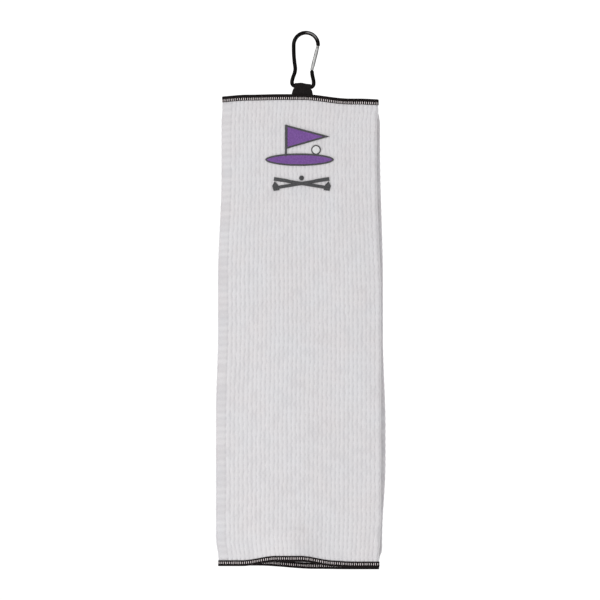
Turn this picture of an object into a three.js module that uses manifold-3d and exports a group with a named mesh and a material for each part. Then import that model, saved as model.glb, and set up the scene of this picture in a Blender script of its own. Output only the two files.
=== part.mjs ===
// Golf towel: a waffle-weave cloth folded in three, with black bound hems at its top and bottom, a
// webbing loop sewn into the top hem, and a small spring-gate carabiner through the loop.
// Millimetres. +Z up, the embroidered front faces -Y, and the origin is the inside top of the
// carabiner's bow, where a hook or a bag's ring carries it.
import * as THREE from "three";
import { mergeVertices } from "three/addons/utils/BufferGeometryUtils.js";
import Module from "manifold-3d";

const wasm = await Module();
wasm.setup();

// Carabiner, in its own frame: the bow's centre is the origin.
const ROD_RADIUS = 2;
const BOW_RADIUS = 12.6; // to the rod's centre line
const BAR_DROP = 43.2; // from the bow's centre to the bottom bar's centre line
const LEFT_BULGE = { halfWidth: 11.65, cornerRadius: 3.6 }; // below the waist, on the spine's side
const RIGHT_BULGE = { halfWidth: 10.9, cornerRadius: 3.2 };
const LEAN = THREE.MathUtils.degToRad(4.1); // the carabiner hangs with its bow towards +X
const PIVOT = new THREE.Vector2(8.15, -24.4);
const PIVOT_ROD_END = -26.5; // where the full rod stops under the gate
const GATE_TOP = new THREE.Vector2(12.4, -0.6);
const GATE_RADIUS = 1.75;
const GATE_BORE_RADIUS = 1;
const BLADE_HALF_THICKNESS = 0.5; // the rod's two flattened ends
const FORK_HALF_GAP = 0.8;
const PIN_RADIUS = 0.5;
const CATCH_DROP = 2; // from the nose's end down to the catch pin
const SPRING_COILS = 7;

// Towel.
const LAYER_PITCH = 3.4; // between the middles of two folded layers
const CLOTH_HALF_THICKNESS = 0.7;
const HEM_HALF_THICKNESS = 1.5;
const HEM_HEIGHT = 6.1;
const SLOT_HALF_WIDTH = 1; // the binding's fold, which the cloth's edge goes into
const SLOT_DEPTH = 2.6;
const GAP = 0.3; // between touching pieces
const TOP = -61.5; // the top hem's highest line
const BOTTOM_LEFT = -547.7;
const LEFT_TOP = -86.4; // the front panel's free edge at the top hem
const RIGHT_TOP = 75.2; // the right-hand fold at the top hem
const LEFT_FOLD_TOP = -85.2;
const THREAD_HEIGHT = 1.6; // the overlock thread's row beside each hem
const THREAD_THICKNESS = 0.4;

// Webbing loop, in a frame at the bar's centre.
const WEBBING_THICKNESS = 1;
const BAR_CLEARANCE = 0.3;
const TAIL_HALF_THICKNESS = 0.7;
const TAIL_DEPTH = 2.2; // how far the tail goes into the top hem
const TAB_HALF_WIDTH = 11; // at the hem; it is a little narrower round the bar

const bowCentre = new THREE.Vector3(0, 0, ROD_RADIUS - BOW_RADIUS);
const barCentre = new THREE.Vector3(
  -BAR_DROP * Math.sin(LEAN),
  0,
  bowCentre.z - BAR_DROP * Math.cos(LEAN),
);
const layerY = { front: -LAYER_PITCH, middle: 0, back: LAYER_PITCH };

const blackMetal = new THREE.MeshStandardMaterial({ color: 0x161616, roughness: 0.35, metalness: 0.8 });
const silver = new THREE.MeshStandardMaterial({ color: 0xc9c9c6, roughness: 0.25, metalness: 1 });
const blackWebbing = new THREE.MeshStandardMaterial({ color: 0x1b1717, roughness: 0.9 });
const blackBinding = new THREE.MeshStandardMaterial({ color: 0x1f1a1a, roughness: 0.85 });
const whiteCloth = new THREE.MeshStandardMaterial({ color: 0xdcdadd, roughness: 0.95 });
const paleThread = new THREE.MeshStandardMaterial({ color: 0xd8cccb, roughness: 0.7 });
const purpleThread = new THREE.MeshStandardMaterial({ color: 0x764a98, roughness: 0.5 });
const greyThread = new THREE.MeshStandardMaterial({ color: 0x3c3c3e, roughness: 0.5 });

const towel = new THREE.Group();
const carabiner = new THREE.Group();
const gateGroup = new THREE.Group();
const tab = new THREE.Group();
towel.add(carabiner, tab);
carabiner.add(gateGroup);
carabiner.position.copy(bowCentre);
carabiner.rotation.y = LEAN;
gateGroup.position.set(PIVOT.x, 0, PIVOT.y);
gateGroup.rotation.y = Math.atan2(GATE_TOP.x - PIVOT.x, GATE_TOP.y - PIVOT.y);
tab.position.copy(barCentre);
tab.rotation.y = LEAN;

function addMesh(group, name, geometry, material) {
  const mesh = new THREE.Mesh(geometry, material);
  mesh.name = name;
  group.add(mesh);
}

function solidOf(geometry) {
  const bare = geometry.clone();
  bare.deleteAttribute("normal");
  bare.deleteAttribute("uv");
  const merged = mergeVertices(bare, 1e-4);
  const vertProperties = new Float32Array(merged.attributes.position.array);
  const triVerts = new Uint32Array(merged.index.array);
  return new wasm.Manifold(new wasm.Mesh({ numProp: 3, vertProperties, triVerts }));
}

function geometryOf(solid) {
  const { vertProperties, triVerts, numProp } = solid.getMesh();
  if (numProp !== 3) throw new Error("positions only");
  const geometry = new THREE.BufferGeometry();
  geometry.setAttribute("position", new THREE.Float32BufferAttribute(vertProperties, 3));
  geometry.setIndex([...triVerts]);
  geometry.computeVertexNormals();
  return geometry;
}

// A closed body through copies of one section: place(i, point) puts a section point in space.
function loft(outline, count, place) {
  const section = THREE.ShapeUtils.isClockWise(outline) ? [...outline].reverse() : outline;
  const positions = [];
  const index = [];
  const sides = section.length;
  for (let i = 0; i < count; i++) {
    for (const point of section) positions.push(...place(i, point).toArray());
  }
  for (let i = 0; i < count - 1; i++) {
    for (let j = 0; j < sides; j++) {
      const next = (j + 1) % sides;
      const [a, b, c, d] = [i * sides + j, i * sides + next, (i + 1) * sides + next, (i + 1) * sides + j];
      index.push(a, b, c, a, c, d);
    }
  }
  const last = (count - 1) * sides;
  for (const [a, b, c] of THREE.ShapeUtils.triangulateShape(section, [])) {
    index.push(c, b, a);
    index.push(last + a, last + b, last + c);
  }
  const geometry = new THREE.BufferGeometry();
  geometry.setAttribute("position", new THREE.Float32BufferAttribute(positions, 3));
  geometry.setIndex(index);
  if (solidOf(geometry).volume() < 0) {
    for (let i = 0; i < index.length; i += 3) [index[i], index[i + 1]] = [index[i + 1], index[i]];
    geometry.setIndex(index);
  }
  geometry.computeVertexNormals();
  return geometry;
}

function circlePoints(radius, sides) {
  return Array.from({ length: sides }, (_, i) => {
    const angle = (2 * Math.PI * i) / sides;
    return new THREE.Vector2(radius * Math.cos(angle), radius * Math.sin(angle));
  });
}

// A flat outline in X and Z, thickened along Y from near to far.
function plate(outline, near, far) {
  const settings = { depth: far - near, bevelEnabled: false, curveSegments: 18 };
  const geometry = new THREE.ExtrudeGeometry(outline, settings);
  geometry.rotateX(Math.PI / 2);
  geometry.translate(0, far, 0);
  return geometry;
}

function plateOfPoints(points, near, far) {
  return plate(new THREE.Shape(points.map(([x, z]) => new THREE.Vector2(x, z))), near, far);
}

function box(xLow, xHigh, yLow, yHigh, zLow, zHigh) {
  const geometry = new THREE.BoxGeometry(xHigh - xLow, yHigh - yLow, zHigh - zLow);
  geometry.translate((xLow + xHigh) / 2, (yLow + yHigh) / 2, (zLow + zHigh) / 2);
  return geometry;
}

function pinAlongY(x, z, radius, halfLength) {
  const geometry = new THREE.CylinderGeometry(radius, radius, 2 * halfLength, 16);
  geometry.translate(x, 0, z);
  return geometry;
}

function cylinderAlongZ(radius, low, high, sides = 24) {
  const geometry = new THREE.CylinderGeometry(radius, radius, high - low, sides);
  geometry.rotateX(Math.PI / 2);
  geometry.translate(0, 0, (low + high) / 2);
  return geometry;
}

// The rod runs from the nose over the bow, down the spine, round the lower bulge and along the bar
// to the gate's pivot. Both ends are flattened to a blade.
function carabinerBody() {
  const left = LEFT_BULGE;
  const right = RIGHT_BULGE;
  const leftCornerZ = left.cornerRadius - BAR_DROP;
  const rightCornerZ = right.cornerRadius - BAR_DROP;
  const path = new THREE.Path();
  path.moveTo(BOW_RADIUS, 0);
  path.absarc(0, 0, BOW_RADIUS, 0, Math.PI, false);
  path.quadraticCurveTo(-12, -13, -9.25, -24.2);
  path.quadraticCurveTo(-8.75, -27.6, -10.1, -31.8);
  path.quadraticCurveTo(-11.7, -36.8, -left.halfWidth, leftCornerZ);
  const leftCornerX = left.cornerRadius - left.halfWidth;
  const rightCornerX = right.halfWidth - right.cornerRadius;
  path.absarc(leftCornerX, leftCornerZ, left.cornerRadius, Math.PI, 1.5 * Math.PI, false);
  path.absarc(rightCornerX, rightCornerZ, right.cornerRadius, -0.5 * Math.PI, 0, false);
  path.quadraticCurveTo(10.95, -36.6, 8.95, -31.3);
  path.quadraticCurveTo(8.4, -28.9, PIVOT.x, PIVOT_ROD_END);

  const steps = 132;
  const points = path.getSpacedPoints(steps);
  const rod = loft(circlePoints(ROD_RADIUS, 12), steps + 1, (i, point) => {
    const before = points[Math.max(i - 1, 0)];
    const after = points[Math.min(i + 1, steps)];
    const along = after.clone().sub(before).normalize();
    return new THREE.Vector3(
      points[i].x - along.y * point.x,
      point.y,
      points[i].y + along.x * point.x,
    );
  });

  const bladeRadius = 1.1;
  const blade = BLADE_HALF_THICKNESS;
  const noseBlade = box(BOW_RADIUS - 1, BOW_RADIUS + 1, -blade, blade, -3.2, 0.5);
  const pivotEnd = pinAlongY(PIVOT.x, PIVOT.y, bladeRadius, BLADE_HALF_THICKNESS);
  const pivotBlade = box(
    PIVOT.x - bladeRadius,
    PIVOT.x + bladeRadius,
    -BLADE_HALF_THICKNESS,
    BLADE_HALF_THICKNESS,
    PIVOT_ROD_END - 1,
    PIVOT.y,
  );
  const pivotHole = pinAlongY(PIVOT.x, PIVOT.y, PIN_RADIUS + 0.12, 3);
  const catchHole = pinAlongY(BOW_RADIUS, -CATCH_DROP, PIN_RADIUS + 0.12, 3);
  const joined = solidOf(rod).add(solidOf(noseBlade)).add(solidOf(pivotEnd)).add(solidOf(pivotBlade));
  return geometryOf(joined.subtract(solidOf(pivotHole)).subtract(solidOf(catchHole)));
}

// The gate's own frame has its pivot at the origin and its tube along +Z.
function gateTube(length) {
  const slotFloor = length - 4.2;
  const toCatch = new THREE.Vector2(BOW_RADIUS, -CATCH_DROP).sub(PIVOT);
  const catchPin = toCatch.rotateAround(new THREE.Vector2(), gateGroup.rotation.y);
  const room = PIN_RADIUS + GAP;
  const tube = solidOf(cylinderAlongZ(GATE_RADIUS, -1, length));
  const bore = solidOf(cylinderAlongZ(GATE_BORE_RADIUS, -2, slotFloor - 0.9));
  const fork = solidOf(box(-3, 3, -FORK_HALF_GAP, FORK_HALF_GAP, -3, 3.2));
  const topSlot = solidOf(box(-3, 3, -FORK_HALF_GAP, FORK_HALF_GAP, slotFloor, length + 1));
  const catchNotch = solidOf(box(catchPin.x - room, 3, -3, 3, catchPin.y - room, catchPin.y + room));
  const pinHole = solidOf(pinAlongY(0, 0, PIN_RADIUS + 0.12, 3));
  return geometryOf(
    tube.subtract(bore).subtract(fork).subtract(topSlot).subtract(catchNotch).subtract(pinHole),
  );
}

function gateSpring(low, high) {
  const meanRadius = 0.65;
  const wireRadius = 0.15;
  const stepsPerTurn = 10;
  const steps = SPRING_COILS * stepsPerTurn;
  return loft(circlePoints(wireRadius, 5), steps + 1, (i, point) => {
    const angle = (2 * Math.PI * i) / stepsPerTurn;
    const radius = meanRadius + point.x;
    const z = low + wireRadius + ((high - low - 2 * wireRadius) * i) / steps + point.y;
    return new THREE.Vector3(radius * Math.cos(angle), radius * Math.sin(angle), z);
  });
}

function gatePlunger() {
  const profile = [[0, 1.45], [0.4, 1.6], [0.75, 2.1], [0.75, 4.5], [0, 4.5]];
  const geometry = new THREE.LatheGeometry(profile.map(([r, z]) => new THREE.Vector2(r, z)), 16);
  geometry.rotateX(Math.PI / 2);
  return geometry;
}

// The outline of a band that wraps a circle and closes down to two points below it.
function teardrop(radius, leftTip, rightTip) {
  const tangentAngle = (tip, side) => {
    const toTip = Math.atan2(tip.y, tip.x);
    return toTip + side * Math.acos(radius / tip.length());
  };
  const start = tangentAngle(rightTip, 1);
  let end = tangentAngle(leftTip, -1);
  while (end < start) end += 2 * Math.PI;
  const arcSteps = 20;
  const points = [leftTip, rightTip];
  for (let i = 0; i <= arcSteps; i++) {
    const angle = start + ((end - start) * i) / arcSteps;
    points.push(new THREE.Vector2(radius * Math.cos(angle), radius * Math.sin(angle)));
  }
  return points;
}

// Both plies of webbing round the bar, and the flat tail that they make in the hem. The section is
// in Y and Z.
function webbingSolid(hemTopDrop, spare) {
  const innerRadius = ROD_RADIUS + BAR_CLEARANCE;
  const outerRadius = innerRadius + WEBBING_THICKNESS;
  const tailY = layerY.front;
  const half = TAIL_HALF_THICKNESS + spare;
  const shoulder = -hemTopDrop;
  const tailFoot = shoulder - TAIL_DEPTH - spare;
  const outerSection = teardrop(
    outerRadius,
    new THREE.Vector2(tailY - half, shoulder),
    new THREE.Vector2(tailY + half, shoulder),
  );
  const meeting = new THREE.Vector2(tailY + 0.2, shoulder + 0.9);
  const innerSection = teardrop(innerRadius, meeting, meeting.clone().add(new THREE.Vector2(0.05, 0)));
  const alongX = (section, halfWidth) =>
    solidOf(
      loft(section, 2, (i, point) => new THREE.Vector3(i === 0 ? -halfWidth : halfWidth, point.x, point.y)),
    );
  const tail = solidOf(
    box(-TAB_HALF_WIDTH, TAB_HALF_WIDTH, tailY - half, tailY + half, tailFoot, shoulder + 0.5),
  );
  const band = alongX(outerSection, 14).subtract(alongX(innerSection, 15)).add(tail);
  const foot = [[TAB_HALF_WIDTH + spare, -hemTopDrop], [TAB_HALF_WIDTH + spare, -14]];
  const rightSide = [[8.3, 4], [8.3, -1.1], [8.5, -1.7], [9.3, -2.3], [9.9, -3.1], [10.2, -4.2], ...foot];
  const leftSide = [[8.75, 4], [8.75, -1.2], [8.95, -1.7], [9.6, -2.3], [10.2, -3.1], [10.4, -4.2], ...foot];
  const outline = [...rightSide, ...leftSide.map(([x, z]) => [-x, z]).reverse()];
  return band.intersect(solidOf(plateOfPoints(outline, -8, 8)));
}

// 0 at low and below, 1 at high and above, with an easy turn at both.
function rise(x, low, high) {
  return THREE.MathUtils.smoothstep(x, low, high);
}

// 0 down to the top hem's foot, 1 from the bottom hem on. The sides are upright beside both hems.
const SIDE_START = TOP - 11;
const SIDE_END = BOTTOM_LEFT + 6;

function downShare(z) {
  return THREE.MathUtils.clamp((SIDE_START - z) / (SIDE_START - SIDE_END), 0, 1);
}

// Levels down the sides, closer together beside both hems, where the cloth is drawn in.
const SIDE_STEPS = 40;
const sideLevels = Array.from({ length: SIDE_STEPS + 1 }, (_, i) => {
  const share = 0.5 - 0.5 * Math.cos((Math.PI * i) / SIDE_STEPS);
  return SIDE_START + (SIDE_END - SIDE_START) * share;
});

// The cloth is wider between its hems than at them.
function freeLeftEdge(z) {
  const u = downShare(z);
  const widening = 0.9 * rise(u, 0, 0.04) + 3.6 * rise(u, 0.15, 0.38) + 2.1 * rise(u, 0.5, 0.68);
  return LEFT_TOP - widening + 2.5 * rise(u, 0.955, 1);
}

function rightFoldEdge(z) {
  const u = downShare(z);
  return RIGHT_TOP - 1.9 * rise(u, 0, 0.03) + 4.6 * rise(u, 0.12, 0.45) - 1.9 * rise(u, 0.9, 1);
}

function leftFoldEdge(z) {
  return LEFT_FOLD_TOP - 2 * downShare(z);
}

function freeBackEdge(z) {
  const u = downShare(z);
  const widening = 1.8 * rise(u, 0, 0.03) + 3 * rise(u, 0.08, 0.38) + 2.7 * rise(u, 0.5, 0.7);
  return RIGHT_TOP - 0.3 + widening - 3.5 * rise(u, 0.78, 0.95) - 3.3 * rise(u, 0.97, 1);
}

// The hems' outer lines. The top one falls away from its crown, the back layer's lower one hangs a
// little lower towards the right, and the other two layers' arches up where the cloth bellies out.
function topLine(x) {
  const leftDrop = 2.2 * (1 - rise(x, -95, -60)) + 0.6 * (1 - rise(x, -60, -25));
  return TOP - leftDrop - 4.6 * rise(x, -4, 46) - 0.8 * rise(x, 55, 78);
}

function rearBottomLine(x) {
  return BOTTOM_LEFT - 3.4 * rise(x, -50, 10) - 0.4 * rise(x, 10, 45);
}

function frontBottomLine(x) {
  return BOTTOM_LEFT - 1.4 * rise(x, 20, 50) + 4.8 * rise(x, -66, -30) * (1 - rise(x, -6, 28));
}

// A panel's flat cloth stops where the binding's fold begins, inside the line that the fold turns on.
const foldRadius = LAYER_PITCH / 2 + CLOTH_HALF_THICKNESS;
const hemRadius = LAYER_PITCH / 2 + HEM_HALF_THICKNESS;

function rightClothEnd(z) {
  return rightFoldEdge(z) - hemRadius - GAP;
}

function leftClothEnd(z) {
  return leftFoldEdge(z) + hemRadius + GAP;
}

const clothInset = HEM_HEIGHT - SLOT_DEPTH + GAP; // from a hem's outer line to the cloth's edge
const HEM_STEPS = 30;

function panelCloth(leftEdge, rightEdge, bottomLine, y) {
  const outline = [];
  const onLine = (line, fromX, toX, shift) => {
    for (let i = 0; i <= HEM_STEPS; i++) {
      const x = fromX + ((toX - fromX) * i) / HEM_STEPS;
      outline.push([x, line(x) + shift]);
    }
  };
  onLine(topLine, leftEdge(TOP), rightEdge(TOP), -clothInset);
  for (const z of sideLevels) outline.push([rightEdge(z), z]);
  onLine(bottomLine, rightEdge(BOTTOM_LEFT), leftEdge(BOTTOM_LEFT), clothInset);
  for (const z of [...sideLevels].reverse()) outline.push([leftEdge(z), z]);
  return plateOfPoints(outline, y - CLOTH_HALF_THICKNESS, y + CLOTH_HALF_THICKNESS);
}

// A binding's section in Y and in the way from its outer line towards the cloth.
function bindingSection() {
  const outer = HEM_HALF_THICKNESS;
  const slot = SLOT_HALF_WIDTH;
  const slotFloor = HEM_HEIGHT - SLOT_DEPTH;
  const points = [
    [-outer, HEM_HEIGHT], [-slot, HEM_HEIGHT], [-slot, slotFloor], [slot, slotFloor],
    [slot, HEM_HEIGHT], [outer, HEM_HEIGHT], [outer, 0.8], [0.9, 0], [-0.9, 0], [-outer, 0.8],
  ];
  return points.map(([y, inward]) => new THREE.Vector2(y, inward));
}

// A section carried along a hem's line, from fromX to toX. inwardSign is -1 under a top hem.
function alongHem(section, line, fromX, toX, y, inwardSign) {
  return loft(section, HEM_STEPS + 1, (i, point) => {
    const x = fromX + ((toX - fromX) * i) / HEM_STEPS;
    return new THREE.Vector3(x, y + point.x, line(x) + inwardSign * point.y);
  });
}

function threadSection(faceSign) {
  const near = faceSign * (CLOTH_HALF_THICKNESS + GAP);
  const far = near + faceSign * THREAD_THICKNESS;
  const start = HEM_HEIGHT + GAP;
  return [
    new THREE.Vector2(near, start),
    new THREE.Vector2(far, start),
    new THREE.Vector2(far, start + THREAD_HEIGHT),
    new THREE.Vector2(near, start + THREAD_HEIGHT),
  ];
}

// The cloth of a fold: half a tube with short legs, whose crown follows the fold's edge. side is 1
// for the right-hand fold.
function foldCloth(edge, legStart, centreY, side, highZ, lowZ) {
  const levels = [highZ, ...sideLevels, lowZ];
  const arcSteps = 6;
  const outer = foldRadius;
  const inner = foldRadius - 2 * CLOTH_HALF_THICKNESS;
  const section = [];
  const onArc = (radius, from, to) => {
    section.push(new THREE.Vector2(0, radius * Math.sin(from)));
    for (let i = 0; i <= arcSteps; i++) {
      const angle = from + ((to - from) * i) / arcSteps;
      section.push(new THREE.Vector2(1 + radius * Math.cos(angle), radius * Math.sin(angle)));
    }
    section.push(new THREE.Vector2(0, radius * Math.sin(to)));
  };
  onArc(outer, -Math.PI / 2, Math.PI / 2);
  onArc(inner, Math.PI / 2, -Math.PI / 2);
  return loft(section, levels.length, (i, point) => {
    const z = levels[i];
    const start = legStart(z) + side * GAP;
    const centre = edge(z) - side * outer;
    const x = point.x < 1 ? start + (centre - start) * point.x : centre + side * (point.x - 1);
    return new THREE.Vector3(x, centreY + point.y, z);
  });
}

// The binding where it turns round a fold: half a thick-walled tube as tall as the hem.
function foldHem(edgeX, centreY, side, lowZ) {
  const outer = hemRadius;
  const inner = hemRadius - 2 * HEM_HALF_THICKNESS;
  const centreX = edgeX - side * outer;
  const shape = new THREE.Shape();
  const turn = side > 0 ? 0 : Math.PI;
  shape.absarc(0, 0, outer, turn - Math.PI / 2, turn + Math.PI / 2, false);
  shape.absarc(0, 0, inner, turn + Math.PI / 2, turn - Math.PI / 2, true);
  const settings = { depth: HEM_HEIGHT, bevelEnabled: false, curveSegments: 8 };
  const geometry = new THREE.ExtrudeGeometry(shape, settings);
  geometry.translate(centreX, centreY, lowZ);
  return geometry;
}

// Each panel's cloth, two bindings and two thread rows. faceSign is the side that the finished face
// is on while the towel is folded.
function addPanel(name, { leftEdge, rightEdge, bottomLine, faceSign, pocket }) {
  const y = layerY[name];
  addMesh(towel, `${name}_panel_cloth`, panelCloth(leftEdge, rightEdge, bottomLine, y), whiteCloth);
  const ends = [
    { end: "top", line: topLine, inward: -1, atZ: TOP },
    { end: "bottom", line: bottomLine, inward: 1, atZ: BOTTOM_LEFT },
  ];
  for (const { end, line, inward, atZ } of ends) {
    const [fromX, toX] = [leftEdge(atZ), rightEdge(atZ)];
    let hem = alongHem(bindingSection(), line, fromX, toX, y, inward);
    if (pocket && end === "top") hem = geometryOf(solidOf(hem).subtract(pocket));
    addMesh(towel, `${name}_${end}_hem`, hem, blackBinding);
    const thread = alongHem(threadSection(faceSign), line, fromX + 1, toX - 1, y, inward);
    addMesh(towel, `${name}_${end}_hem_thread`, thread, paleThread);
  }
}

function addFold(name, centreY, side, edge, legStart, bottomLine) {
  const topX = edge(TOP) - side * hemRadius;
  const bottomX = edge(BOTTOM_LEFT) - side * hemRadius;
  const topHemLow = topLine(topX) - HEM_HEIGHT;
  const bottomHemLow = bottomLine(bottomX);
  const clothHigh = topHemLow - GAP;
  const clothLow = bottomHemLow + HEM_HEIGHT + GAP;
  const cloth = foldCloth(edge, legStart, centreY, side, clothHigh, clothLow);
  addMesh(towel, `${name}_fold_cloth`, cloth, whiteCloth);
  addMesh(towel, `${name}_fold_top_hem`, foldHem(edge(TOP), centreY, side, topHemLow), blackBinding);
  addMesh(
    towel,
    `${name}_fold_bottom_hem`,
    foldHem(edge(BOTTOM_LEFT), centreY, side, bottomHemLow),
    blackBinding,
  );
}

// Embroidery: a flag on a green with a ball, and two crossed clubs under it.
function addEmblem() {
  const centre = new THREE.Vector2(-6.6, -114.2);
  const near = layerY.front - CLOTH_HALF_THICKNESS - GAP - THREAD_THICKNESS;
  const far = near + THREAD_THICKNESS;
  const border = 1.9;
  const at = (x, z) => new THREE.Vector2(centre.x + x, centre.y + z);

  const ellipse = (x, z, radiusX, radiusZ) => {
    const shape = new THREE.Shape();
    const middle = at(x, z);
    shape.absellipse(middle.x, middle.y, radiusX, radiusZ, 0, 2 * Math.PI, false, 0);
    return shape;
  };
  const flagHeight = 25;
  const flagLength = 45;
  const flagCorners = [at(-14, 21), at(-14, 21 - flagHeight), at(flagLength - 14, 9)];
  const sides = flagCorners.map((corner, i) =>
    flagCorners[(i + 1) % 3].distanceTo(flagCorners[(i + 2) % 3]),
  );
  const perimeter = sides[0] + sides[1] + sides[2];
  const incentre = new THREE.Vector2();
  flagCorners.forEach((corner, i) => incentre.addScaledVector(corner, sides[i] / perimeter));
  const inradius = (flagHeight * flagLength) / perimeter;
  const flag = (inset) => {
    const share = (inradius - inset) / inradius;
    const moved = flagCorners.map((corner) =>
      corner.clone().sub(incentre).multiplyScalar(share).add(incentre),
    );
    return new THREE.Shape(moved);
  };
  const solid = (shape, low = near, high = far) => solidOf(plate(shape, low, high));
  const hole = (shape) => solid(shape, near - 1, far + 1);
  const rectangle = (x0, x1, z0, z1) => new THREE.Shape([at(x0, z0), at(x1, z0), at(x1, z1), at(x0, z1)]);

  const green = (inset) => ellipse(0, -14.9, 35.3 - inset, 6.4 - inset);
  const ball = (inset) => ellipse(17, -4.8, 5 - inset, 5 - inset);
  const inner = border;
  const outline = solid(flag(0))
    .add(solid(rectangle(-15, -13, -12, 21)))
    .add(solid(green(0)))
    .add(solid(ball(0)))
    .subtract(hole(flag(inner)))
    .subtract(hole(green(inner)))
    .subtract(hole(ball(1.3)));
  addMesh(towel, "emblem_outline", geometryOf(outline), greyThread);
  addMesh(towel, "emblem_flag", plate(flag(inner + GAP), near, far), purpleThread);
  addMesh(towel, "emblem_green", plate(green(inner + GAP), near, far), purpleThread);
  addMesh(towel, "emblem_ball", plate(ball(1.3 + GAP), near, far), paleThread);

  const clubsCentre = new THREE.Vector2(-4.5, -154);
  const club = (mirror) => {
    const placed = (points) =>
      new THREE.Shape(
        points.map(([x, z]) => new THREE.Vector2(clubsCentre.x + mirror * x, clubsCentre.y + z)),
      );
    const shaft = placed([[-24, -5.2], [28.4, 3.4], [27.9, 6.6], [-24.6, -2]]);
    const grip = placed([[14, 1.2], [28.8, 3.2], [28, 7], [13.4, 4.6]]);
    const head = placed([[-22.6, -6.4], [-28.8, -7.2], [-30.2, -2], [-27.8, 2.6], [-24.2, -1]]);
    return solid(shaft).add(solid(grip)).add(solid(head));
  };
  addMesh(towel, "emblem_clubs", geometryOf(club(1).add(club(-1))), greyThread);
  const smallBall = new THREE.Shape();
  smallBall.absarc(clubsCentre.x, clubsCentre.y + 6, 2.5, 0, 2 * Math.PI, false);
  addMesh(towel, "emblem_small_ball", plate(smallBall, near, far), greyThread);
}

addMesh(carabiner, "carabiner_body", carabinerBody(), blackMetal);
addMesh(carabiner, "gate_pivot_pin", pinAlongY(PIVOT.x, PIVOT.y, PIN_RADIUS, 1.65), silver);
addMesh(carabiner, "nose_catch_pin", pinAlongY(BOW_RADIUS, -CATCH_DROP, PIN_RADIUS, 1.5), silver);
const gateLength = GATE_TOP.distanceTo(PIVOT);
addMesh(gateGroup, "gate", gateTube(gateLength), silver);
addMesh(gateGroup, "gate_spring", gateSpring(4.8, gateLength - 5.4), silver);
addMesh(gateGroup, "gate_plunger", gatePlunger(), silver);

const hemTopDrop = barCentre.z - topLine(barCentre.x);
addMesh(tab, "webbing_loop", geometryOf(webbingSolid(hemTopDrop, 0)), blackWebbing);
tab.updateMatrixWorld(true);
const pocket = webbingSolid(hemTopDrop, GAP).transform([...tab.matrixWorld.elements]);

addPanel("front", {
  leftEdge: freeLeftEdge,
  rightEdge: rightClothEnd,
  bottomLine: frontBottomLine,
  faceSign: -1,
  pocket,
});
addPanel("middle", {
  leftEdge: leftClothEnd,
  rightEdge: rightClothEnd,
  bottomLine: frontBottomLine,
  faceSign: 1,
});
addPanel("back", {
  leftEdge: leftClothEnd,
  rightEdge: freeBackEdge,
  bottomLine: rearBottomLine,
  faceSign: -1,
});
addFold("right", -LAYER_PITCH / 2, 1, rightFoldEdge, rightClothEnd, frontBottomLine);
addFold("left", LAYER_PITCH / 2, -1, leftFoldEdge, leftClothEnd, rearBottomLine);
addEmblem();

export default towel;
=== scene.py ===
"""Looks of the folded waffle golf towel: cloth, bindings, stitching, embroidery, webbing and carabiner.

Shapes are worked out in millimetres in the row frame, +Z up and the front facing -Y, and turned into
metres where a mesh is made.
"""
import math

import bpy
import numpy as np
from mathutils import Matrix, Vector
from mathutils.geometry import tessellate_polygon


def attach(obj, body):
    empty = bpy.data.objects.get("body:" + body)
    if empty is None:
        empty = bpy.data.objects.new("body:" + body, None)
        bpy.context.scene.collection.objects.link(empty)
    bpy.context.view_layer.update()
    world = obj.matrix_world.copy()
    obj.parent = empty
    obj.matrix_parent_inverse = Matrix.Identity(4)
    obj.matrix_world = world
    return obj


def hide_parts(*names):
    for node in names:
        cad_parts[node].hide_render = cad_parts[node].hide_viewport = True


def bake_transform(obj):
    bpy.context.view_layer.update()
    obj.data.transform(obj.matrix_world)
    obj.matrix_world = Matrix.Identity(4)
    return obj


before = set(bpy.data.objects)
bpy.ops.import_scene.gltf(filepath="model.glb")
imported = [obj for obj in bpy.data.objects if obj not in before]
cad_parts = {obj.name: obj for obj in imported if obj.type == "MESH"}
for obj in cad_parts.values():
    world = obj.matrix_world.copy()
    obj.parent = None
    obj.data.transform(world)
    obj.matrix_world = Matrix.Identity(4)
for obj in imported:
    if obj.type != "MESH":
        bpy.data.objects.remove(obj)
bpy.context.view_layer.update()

MM = 0.001
PI = math.pi
SMOOTH_LIMIT = 60  # edges sharper than this many degrees stay crisp

# Carabiner, with the bow's centre as origin.
ROD_RADIUS = 2.0
BOW_RADIUS = 12.6
BAR_DROP = 43.2
LEAN = math.radians(4.1)
PIVOT = np.array([8.15, -24.4])
GATE_TOP = np.array([12.4, -0.6])
GATE_RADIUS = 1.75
GATE_BORE_RADIUS = 1.0
BLADE_HALF_THICKNESS = 0.5
BLADE_HALF_WIDTH = 1.0
BLADE_POWER = 5.0  # how square a flattened end is
EYE_RADIUS = 1.3  # of the rounded end about the pivot
FORK_HALF_GAP = 0.8
PIN_RADIUS = 0.5
CATCH_DROP = 2.0
SPRING_COILS = 7
SPRING_RADIUS = 0.65
GATE_SLOT_DEPTH = 4.2
EYE_HALF_WIDTH = 1.36  # of the flat neck beside the pivot
BOW_DROP = BOW_RADIUS - ROD_RADIUS

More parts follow.
